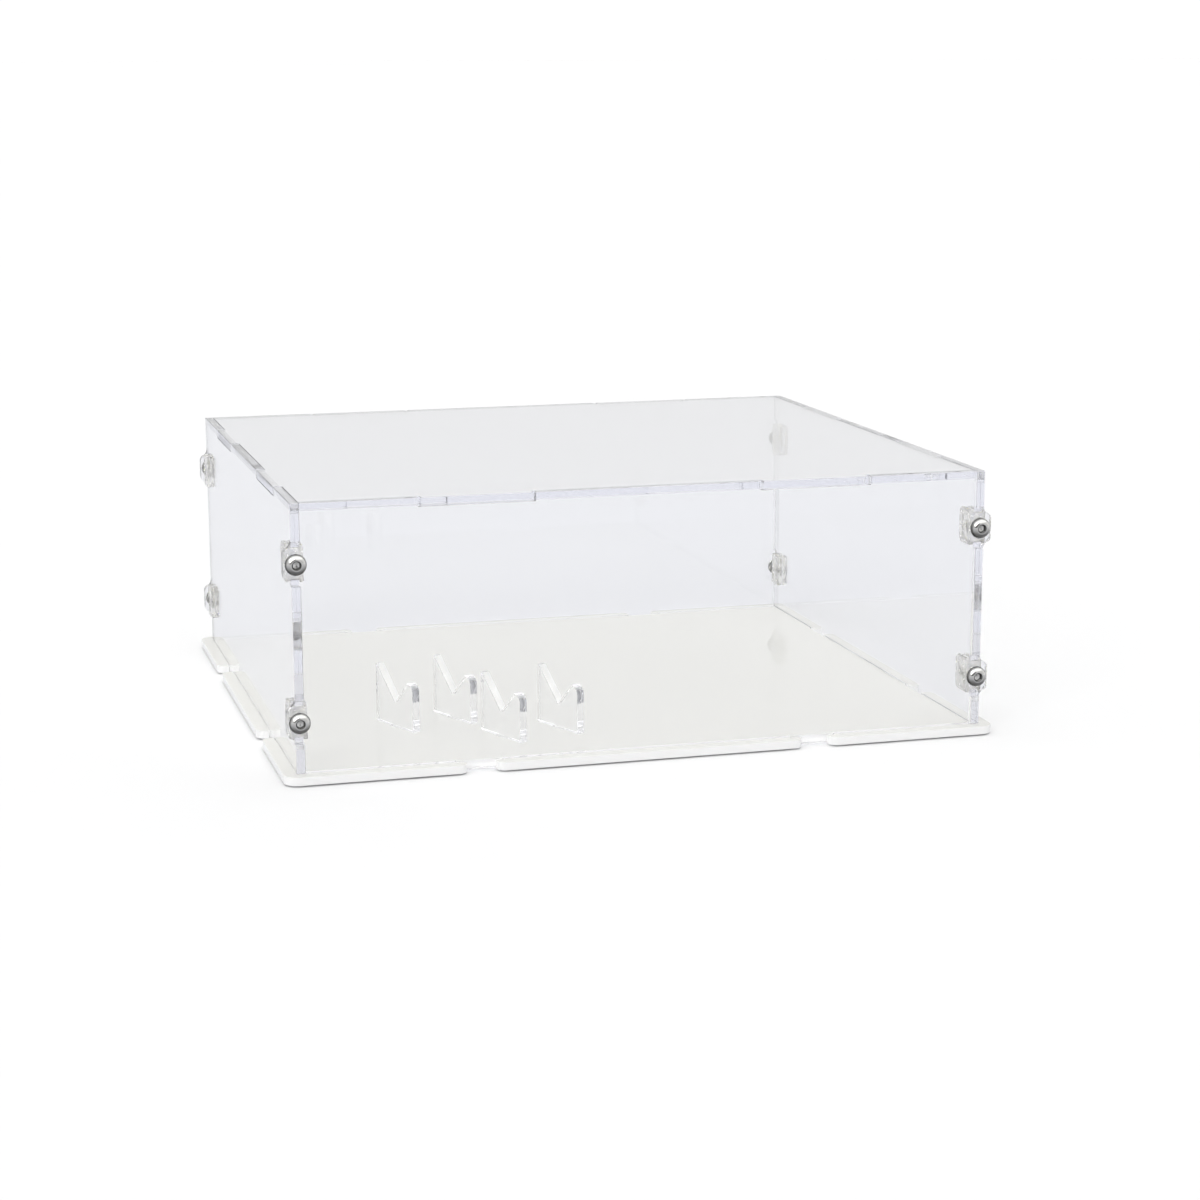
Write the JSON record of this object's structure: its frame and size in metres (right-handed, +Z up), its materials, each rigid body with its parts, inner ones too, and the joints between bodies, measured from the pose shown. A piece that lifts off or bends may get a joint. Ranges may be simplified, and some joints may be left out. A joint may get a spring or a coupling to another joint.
{
  "type": "model display case",
  "caption": "Clear acrylic display case: a lift-off cover joined by corner clips and screws on a white base plate, with notched stand plates pegged into it.",
  "frame": {"origin": "middle of the base plate's underside", "axes": "+Z up, +X to the case's right as seen from its front, -Y out of the front"},
  "size_m": [0.259, 0.229, 0.0961],
  "materials": {
    "clear_sheet": "clear polished acrylic sheet",
    "clear_stand": "clear polished acrylic sheet",
    "white_sheet": "gloss white acrylic sheet",
    "clip_moulding": "milky translucent moulded plastic",
    "screw_steel": "polished stainless steel"
  },
  "bodies": {
    "base": {"base_plate": "white_sheet"},
    "cover": {"top_panel": "clear_sheet", "front_panel": "clear_sheet", "back_panel": "clear_sheet", "left_wall": "clear_sheet", "right_wall": "clear_sheet", "clip_front_left_lower": "clip_moulding", "clip_front_left_upper": "clip_moulding", "clip_front_right_lower": "clip_moulding", "clip_front_right_upper": "clip_moulding", "clip_back_left_lower": "clip_moulding", "clip_back_left_upper": "clip_moulding", "clip_back_right_lower": "clip_moulding", "clip_back_right_upper": "clip_moulding", "screw_front_left_lower": "screw_steel", "screw_front_left_upper": "screw_steel", "screw_front_right_lower": "screw_steel", "screw_front_right_upper": "screw_steel", "screw_back_left_lower": "screw_steel", "screw_back_left_upper": "screw_steel", "screw_back_right_lower": "screw_steel", "screw_back_right_upper": "screw_steel"},
    "stand_back_left": {"stand_back_left": "clear_stand"},
    "stand_back_right": {"stand_back_right": "clear_stand"},
    "stand_front_left": {"stand_front_left": "clear_stand"},
    "stand_front_right": {"stand_front_right": "clear_stand"}
  },
  "joints": [
    {"name": "cover_lift", "type": "slide", "parent": "base", "child": "cover", "axis": [0, 0, 1], "range_m": [0, 0.12]},
    {"name": "stand_back_left_lift", "type": "slide", "parent": "base", "child": "stand_back_left", "axis": [0, 0, 1], "range_m": [0, 0.02]},
    {"name": "stand_back_right_lift", "type": "slide", "parent": "base", "child": "stand_back_right", "axis": [0, 0, 1], "range_m": [0, 0.02]},
    {"name": "stand_front_left_lift", "type": "slide", "parent": "base", "child": "stand_front_left", "axis": [0, 0, 1], "range_m": [0, 0.02]},
    {"name": "stand_front_right_lift", "type": "slide", "parent": "base", "child": "stand_front_right", "axis": [0, 0, 1], "range_m": [0, 0.02]}
  ]
}
